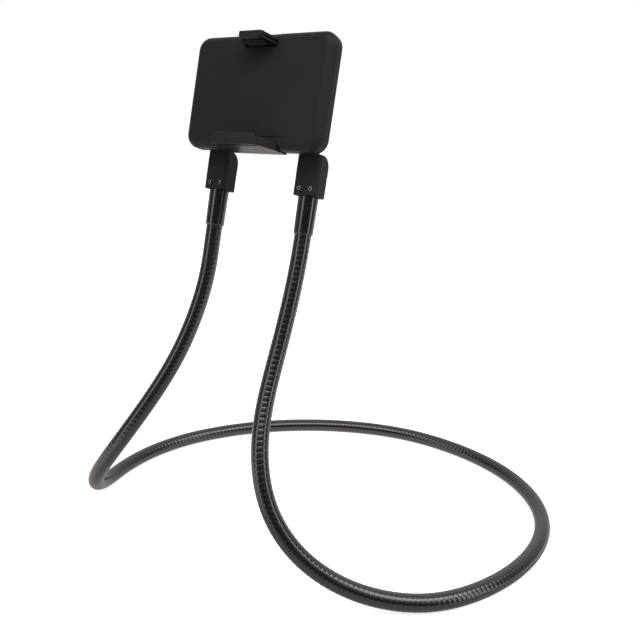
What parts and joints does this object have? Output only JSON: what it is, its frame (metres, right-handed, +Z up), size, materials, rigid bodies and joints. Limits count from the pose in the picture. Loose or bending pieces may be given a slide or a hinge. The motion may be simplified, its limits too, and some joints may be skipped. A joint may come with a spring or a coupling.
{
  "type": "neck_phone_holder",
  "caption": "Neck-worn phone holder: a bendable ribbed gooseneck loop carries a tilting clamp with a spring-loaded jaw above and below the phone",
  "frame": {"origin": "bottom centre of the bounding box; z = 0 is the floor on which the neck loop lies", "axes": "+Z up, the phone side of the holder faces -Y, +X to the right of someone who looks at the phone"},
  "size_m": [0.2928, 0.2324, 0.3036],
  "materials": {
    "gloss_black_metal": "black nickel look, glossy, with close ribs",
    "black_plastic": "fine satin texture",
    "steel": "bright",
    "black_rubber": "soft grip pad"
  },
  "bodies": {
    "arms": {"gooseneck_cover": "gloss_black_metal", "gooseneck_core": "steel", "left_end_stud": "steel", "right_end_stud": "steel", "left_ferrule": "gloss_black_metal", "right_ferrule": "gloss_black_metal", "left_block": "black_plastic", "right_block": "black_plastic", "set_screws": "steel", "left_hinge_pin": "steel", "right_hinge_pin": "steel", "friction_washers": "steel"},
    "holder": {"hinge_bracket": "black_plastic", "bracket_screws": "steel", "rear_cover": "black_plastic", "front_cover": "black_plastic", "cover_screws": "steel", "slide_guide": "black_plastic", "top_left_spring": "steel", "top_right_spring": "steel", "bottom_left_spring": "steel", "bottom_right_spring": "steel"},
    "top_jaw": {"top_jaw": "black_plastic", "top_jaw_pad": "black_rubber"},
    "bottom_jaw": {"bottom_jaw": "black_plastic", "bottom_jaw_pad": "black_rubber"}
  },
  "joints": [
    {"name": "holder_tilt", "type": "hinge", "parent": "arms", "child": "holder", "pos_m": [-0.04136, -0.03765, 0.2297], "axis": [0.9991, 0, 0.0419], "range_deg": [-60, 10]},
    {"name": "top_jaw_slide", "type": "slide", "parent": "holder", "child": "top_jaw", "axis": [-0.0404, 0.2588, 0.9651], "range_m": [0, 0.014], "stiffness_N_per_m": 200, "springref_m": -0.015, "deforming": ["top_left_spring", "top_right_spring"]},
    {"name": "bottom_jaw_slide", "type": "slide", "parent": "holder", "child": "bottom_jaw", "axis": [0.0404, -0.2588, -0.9651], "range_m": [0, 0.018], "stiffness_N_per_m": 200, "springref_m": -0.015, "deforming": ["bottom_left_spring", "bottom_right_spring"]}
  ]
}
